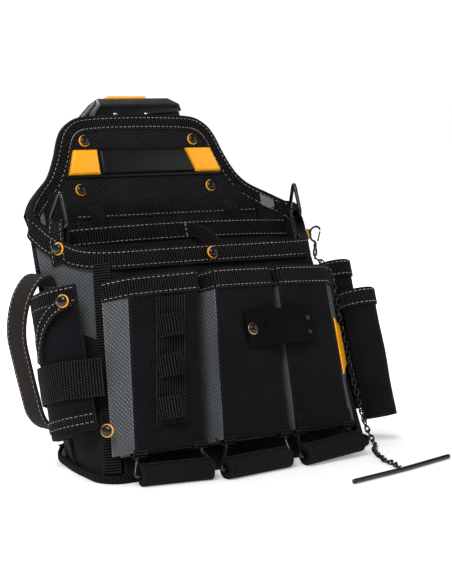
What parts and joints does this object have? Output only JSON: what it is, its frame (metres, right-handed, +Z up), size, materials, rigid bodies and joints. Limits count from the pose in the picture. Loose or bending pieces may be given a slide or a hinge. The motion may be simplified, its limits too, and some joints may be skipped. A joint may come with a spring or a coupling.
{
  "type": "electrician tool pouch",
  "caption": "Belt-worn electrician's tool pouch: stiff back board with a clip-on hub, open compartment, front pockets on wire bails, side pockets, loops and a tape chain.",
  "frame": {"origin": "centre of the pouch's box at the floor it stands on, chain and bar left out", "axes": "+Z up, +X to the wearer's left as the pouch is seen from in front (screen right), +Y towards the back board and the belt clip"},
  "size_m": [0.3915, 0.3834, 0.357],
  "materials": {
    "twill": "coarse black polyester twill with a coated back",
    "gusset_weave": "mid grey ballistic weave",
    "webbing": "ribbed black webbing with off-white lock stitches",
    "strap_leather": "stiff brown-black laminated strap",
    "moulded_base": "coated black base cloth over a stiffener",
    "black_plastic": "satin black moulded plastic",
    "orange_plastic": "glossy orange moulded plastic",
    "black_steel": "glossy black painted steel",
    "bright_steel": "bright zinc-plated steel",
    "brass_rivet": "dull brass tubular rivet"
  },
  "bodies": {
    "pouch": {"back_board": "twill", "board_binding": "webbing", "left_wing": "gusset_weave", "right_wing": "gusset_weave", "back_lower_wall": "twill", "base_panel": "moulded_base", "base_binding": "webbing", "left_gusset": "gusset_weave", "right_gusset": "gusset_weave", "corner_bindings": "webbing", "front_panel": "twill", "rim_band": "webbing", "hub_housing": "black_plastic", "hub_screws": "bright_steel", "name_plate": "black_plastic", "name_plate_caps": "orange_plastic", "name_plate_base": "black_plastic", "rivets": "black_steel", "rivet_rings": "orange_plastic", "inner_pocket_back": "twill", "inner_pocket_back_webbing": "webbing", "pen_loops": "webbing", "divider_panel": "twill", "divider_webbing": "webbing", "ring_tabs": "webbing", "front_pocket_left": "twill", "front_pocket_center": "twill", "front_pocket_right": "twill", "pocket_gussets": "gusset_weave", "pocket_webbing": "webbing", "bit_loop_strip": "webbing", "bit_loops": "webbing", "tape_clip": "black_steel", "tape_clip_rivets": "brass_rivet", "side_tag": "orange_plastic", "bail_left": "black_steel", "bail_center": "black_steel", "bail_right": "black_steel", "bail_rolls": "webbing", "bail_tabs": "webbing", "hammer_loop": "strap_leather", "side_pocket": "twill", "side_pocket_webbing": "webbing", "elastic_band": "webbing", "sling_strap": "webbing", "upper_sleeve": "twill", "lower_sleeve": "twill", "sleeve_webbing": "webbing", "snap_hook": "black_steel", "tape_chain": "black_steel", "tape_bar": "black_steel"},
    "button": {"release_button": "orange_plastic", "button_spring": "bright_steel"},
    "latch": {"latch_plate": "bright_steel"},
    "belt_clip": {"belt_clip": "black_plastic"},
    "left_ring": {"left_ring": "black_steel"},
    "right_ring": {"right_ring": "black_steel"},
    "snap_gate": {"snap_gate": "black_steel"}
  },
  "joints": [
    {"name": "button_press", "type": "slide", "parent": "pouch", "child": "button", "axis": [0, -0.3256, -0.9455], "range_m": [0, 0.003], "stiffness_N_per_m": 400},
    {"name": "latch_slide", "type": "slide", "parent": "pouch", "child": "latch", "axis": [0, -0.9455, 0.3256], "range_m": [0, 0.003]},
    {"name": "clip_slide", "type": "slide", "parent": "pouch", "child": "belt_clip", "axis": [0, -0.3256, -0.9455], "range_m": [0, 0.045]},
    {"name": "left_ring_swing", "type": "hinge", "parent": "pouch", "child": "left_ring", "pos_m": [-0.14015, 0.0163, 0.23133], "axis": [0.1941, -0.9801, -0.0415], "range_deg": [-70, 60]},
    {"name": "right_ring_swing", "type": "hinge", "parent": "pouch", "child": "right_ring", "pos_m": [0.14185, 0.0163, 0.23133], "axis": [0.1941, 0.9801, 0.0415], "range_deg": [-70, 60]},
    {"name": "gate_open", "type": "hinge", "parent": "pouch", "child": "snap_gate", "pos_m": [0.13785, -0.0324, 0.2074], "axis": [-0.5029, -0.8643, 0], "range_deg": [0, 25], "stiffness_Nm_per_rad": 0.004}
  ],
  "couplings": [
    {"joint": "latch_slide", "follows": "button_press", "ratio": 1}
  ]
}
